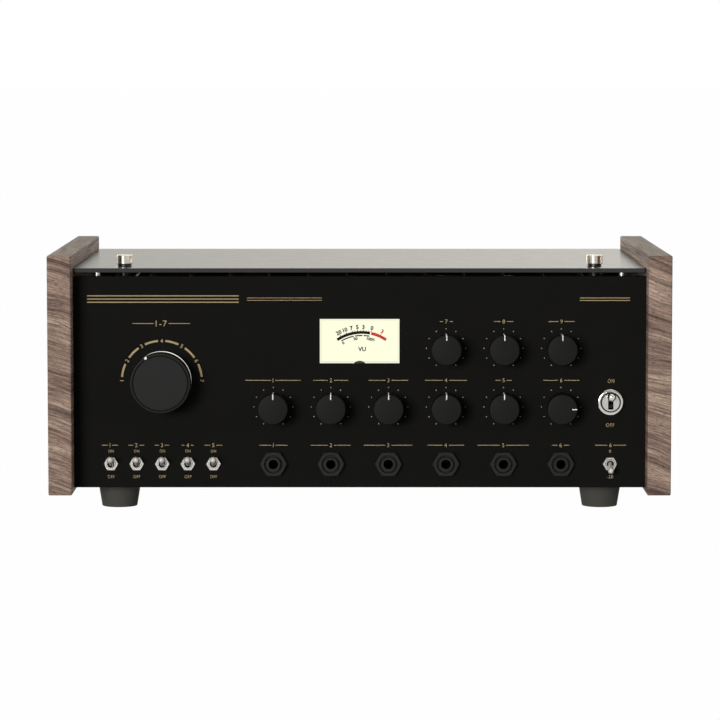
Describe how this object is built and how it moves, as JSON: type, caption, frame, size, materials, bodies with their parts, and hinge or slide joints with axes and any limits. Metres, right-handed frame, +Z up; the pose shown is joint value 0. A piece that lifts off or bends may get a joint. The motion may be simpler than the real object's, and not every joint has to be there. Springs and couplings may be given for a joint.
{
  "type": "tape echo unit",
  "caption": "Tabletop tape echo unit with walnut cheeks, black control panel, level meter, knobs, toggles, jack sockets and a lift-off smoked cover over an endless tape transport.",
  "frame": {"origin": "on the table, under the middle of the unit's box", "axes": "+X to the right seen from the front, +Y to the back, +Z up"},
  "size_m": [0.42, 0.258, 0.1745],
  "materials": {
    "walnut": "oiled, softly rounded edges",
    "panel_black": "fine satin powder coat",
    "chassis_black": "satin powder coat",
    "smoked_acrylic": "polished, glossy",
    "nickel": "nickel plated, polished",
    "chrome": "polished chrome plate",
    "foot_rubber": "moulded, matt",
    "knob_black": "satin moulded phenolic",
    "jack_black": "satin moulded nylon",
    "screw_steel": "zinc plated",
    "machined_steel": "ground and turned",
    "aluminium": "machined",
    "sintered_brass": "turned",
    "tape_oxide": "ferric oxide on polyester film",
    "bin_acrylic": "cut sheet",
    "black_rubber": "ground rubber",
    "meter_plastic": "moulded, matt",
    "meter_card": "printed card, backlit",
    "meter_glass": "clear, polished",
    "needle_black": "matt paint",
    "circuit_board": "solder mask",
    "electronic_parts": "moulded",
    "transformer_steel": "varnished laminations",
    "zinc_sheet": "zinc plated sheet",
    "inlet_plastic": "moulded",
    "gold_print": "screen printed, matt",
    "white_print": "filled, matt"
  },
  "bodies": {
    "chassis": {"left_cheek": "walnut", "right_cheek": "walnut", "chassis_base": "chassis_black", "side_rails": "zinc_sheet", "front_panel": "panel_black", "rear_panel": "chassis_black", "spacer_posts": "nickel", "rubber_feet": "foot_rubber", "machine_screws": "screw_steel", "potentiometers": "aluminium", "mode_switch": "aluminium", "toggle_switches": "nickel", "panel_nuts": "nickel", "power_ring": "chrome", "jack_sockets": "jack_black", "jack_washers": "jack_black", "jack_nuts": "jack_black", "meter_case": "meter_plastic", "meter_dial": "meter_card", "meter_window": "meter_glass", "deck_plate": "chassis_black", "tape_loop": "tape_oxide", "tape_guides": "machined_steel", "tape_bin": "bin_acrylic", "head_bridge": "aluminium", "tape_heads": "machined_steel", "capstan_bearing": "sintered_brass", "drive_motor": "zinc_sheet", "motor_bracket": "zinc_sheet", "drive_belt": "black_rubber", "main_board": "circuit_board", "board_parts": "electronic_parts", "power_transformer": "transformer_steel", "reverb_tank": "zinc_sheet", "mains_inlet": "inlet_plastic"},
    "cover": {"tape_cover": "smoked_acrylic"},
    "left_thumbscrew": {"left_thumbscrew": "nickel"},
    "right_thumbscrew": {"right_thumbscrew": "nickel"},
    "mode_knob": {"mode_knob": "knob_black"},
    "power_toggle": {"power_toggle": "chrome"},
    "meter_needle": {"meter_needle": "needle_black"},
    "capstan": {"capstan": "machined_steel"},
    "motor_pulley": {"motor_pulley": "sintered_brass"},
    "pinch_arm": {"pinch_arm": "machined_steel"},
    "pinch_roller": {"pinch_roller": "black_rubber"},
    "guitar_volume_knob": {"guitar_volume_knob": "knob_black"},
    "chorus_rate_knob": {"chorus_rate_knob": "knob_black"},
    "chorus_depth_knob": {"chorus_depth_knob": "knob_black"},
    "reverb_volume_knob": {"reverb_volume_knob": "knob_black"},
    "speed_knob": {"speed_knob": "knob_black"},
    "echo_volume_knob": {"echo_volume_knob": "knob_black"},
    "bass_knob": {"bass_knob": "knob_black"},
    "treble_knob": {"treble_knob": "knob_black"},
    "feedback_knob": {"feedback_knob": "knob_black"},
    "direct_toggle": {"direct_toggle": "nickel"},
    "motor_toggle": {"motor_toggle": "nickel"},
    "sound_on_sound_toggle": {"sound_on_sound_toggle": "nickel"},
    "echo_toggle": {"echo_toggle": "nickel"},
    "chorus_toggle": {"chorus_toggle": "nickel"},
    "level_toggle": {"level_toggle": "nickel"}
  },
  "joints": [
    {"name": "cover_lift", "type": "slide", "parent": "chassis", "child": "cover", "axis": [0, 0, 1], "range_m": [0, 0.06]},
    {"name": "left_thumbscrew_turn", "type": "hinge", "parent": "cover", "child": "left_thumbscrew", "pos_m": [-0.1604, -0.083, 0.165], "axis": [0, 0, 1], "continuous": true},
    {"name": "right_thumbscrew_turn", "type": "hinge", "parent": "cover", "child": "right_thumbscrew", "pos_m": [0.1604, -0.083, 0.165], "axis": [0, 0, 1], "continuous": true},
    {"name": "mode_turn", "type": "hinge", "parent": "chassis", "child": "mode_knob", "pos_m": [-0.134, -0.109, 0.0888], "axis": [0, 1, 0], "range_deg": [-60, 120]},
    {"name": "guitar_volume_turn", "type": "hinge", "parent": "chassis", "child": "guitar_volume_knob", "pos_m": [-0.0585, -0.109, 0.0709], "axis": [0, 1, 0], "range_deg": [-150, 150]},
    {"name": "chorus_rate_turn", "type": "hinge", "parent": "chassis", "child": "chorus_rate_knob", "pos_m": [-0.0195, -0.109, 0.0709], "axis": [0, 1, 0], "range_deg": [-150, 150]},
    {"name": "chorus_depth_turn", "type": "hinge", "parent": "chassis", "child": "chorus_depth_knob", "pos_m": [0.0195, -0.109, 0.0709], "axis": [0, 1, 0], "range_deg": [-150, 150]},
    {"name": "reverb_volume_turn", "type": "hinge", "parent": "chassis", "child": "reverb_volume_knob", "pos_m": [0.0585, -0.109, 0.0709], "axis": [0, 1, 0], "range_deg": [-150, 150]},
    {"name": "speed_turn", "type": "hinge", "parent": "chassis", "child": "speed_knob", "pos_m": [0.0975, -0.109, 0.0709], "axis": [0, 1, 0], "range_deg": [-150, 150]},
    {"name": "echo_volume_turn", "type": "hinge", "parent": "chassis", "child": "echo_volume_knob", "pos_m": [0.1365, -0.109, 0.0709], "axis": [0, 1, 0], "range_deg": [-240, 60]},
    {"name": "bass_turn", "type": "hinge", "parent": "chassis", "child": "bass_knob", "pos_m": [0.0585, -0.109, 0.1108], "axis": [0, 1, 0], "range_deg": [-150, 150]},
    {"name": "treble_turn", "type": "hinge", "parent": "chassis", "child": "treble_knob", "pos_m": [0.0975, -0.109, 0.1108], "axis": [0, 1, 0], "range_deg": [-150, 150]},
    {"name": "feedback_turn", "type": "hinge", "parent": "chassis", "child": "feedback_knob", "pos_m": [0.1365, -0.109, 0.1108], "axis": [0, 1, 0], "range_deg": [-150, 150]},
    {"name": "direct_flip", "type": "hinge", "parent": "chassis", "child": "direct_toggle", "pos_m": [-0.1688, -0.11, 0.0322], "axis": [1, 0, 0], "range_deg": [0, 47]},
    {"name": "motor_flip", "type": "hinge", "parent": "chassis", "child": "motor_toggle", "pos_m": [-0.1514, -0.11, 0.0322], "axis": [1, 0, 0], "range_deg": [0, 47]},
    {"name": "sound_on_sound_flip", "type": "hinge", "parent": "chassis", "child": "sound_on_sound_toggle", "pos_m": [-0.134, -0.11, 0.0322], "axis": [1, 0, 0], "range_deg": [0, 47]},
    {"name": "echo_flip", "type": "hinge", "parent": "chassis", "child": "echo_toggle", "pos_m": [-0.1166, -0.11, 0.0322], "axis": [1, 0, 0], "range_deg": [0, 47]},
    {"name": "chorus_flip", "type": "hinge", "parent": "chassis", "child": "chorus_toggle", "pos_m": [-0.0992, -0.11, 0.0322], "axis": [1, 0, 0], "range_deg": [0, 47]},
    {"name": "level_flip", "type": "hinge", "parent": "chassis", "child": "level_toggle", "pos_m": [0.17, -0.11, 0.0322], "axis": [1, 0, 0], "range_deg": [-47, 0]},
    {"name": "power_flip", "type": "hinge", "parent": "chassis", "child": "power_toggle", "pos_m": [0.17, -0.108, 0.0743], "axis": [1, 0, 0], "range_deg": [0, 36]},
    {"name": "needle_swing", "type": "hinge", "parent": "chassis", "child": "meter_needle", "pos_m": [0.0014, -0.109, 0.0914], "axis": [0, 1, 0], "range_deg": [0, 114]},
    {"name": "capstan_spin", "type": "hinge", "parent": "chassis", "child": "capstan", "pos_m": [0.104, -0.0434, 0.139], "axis": [0, 0, 1], "continuous": true},
    {"name": "pulley_spin", "type": "hinge", "parent": "chassis", "child": "motor_pulley", "pos_m": [0.06, 0.01, 0.118], "axis": [0, 0, 1], "continuous": true},
    {"name": "pinch_swing", "type": "hinge", "parent": "chassis", "child": "pinch_arm", "pos_m": [0.136, -0.0316, 0.139], "axis": [0, 0, -1], "range_deg": [0, 12]},
    {"name": "roller_spin", "type": "hinge", "parent": "pinch_arm", "child": "pinch_roller", "pos_m": [0.104, -0.0316, 0.139], "axis": [0, 0, 1], "continuous": true}
  ],
  "couplings": [
    {"joint": "pulley_spin", "follows": "capstan_spin", "ratio": 5},
    {"joint": "roller_spin", "follows": "capstan_spin", "ratio": -0.375}
  ]
}
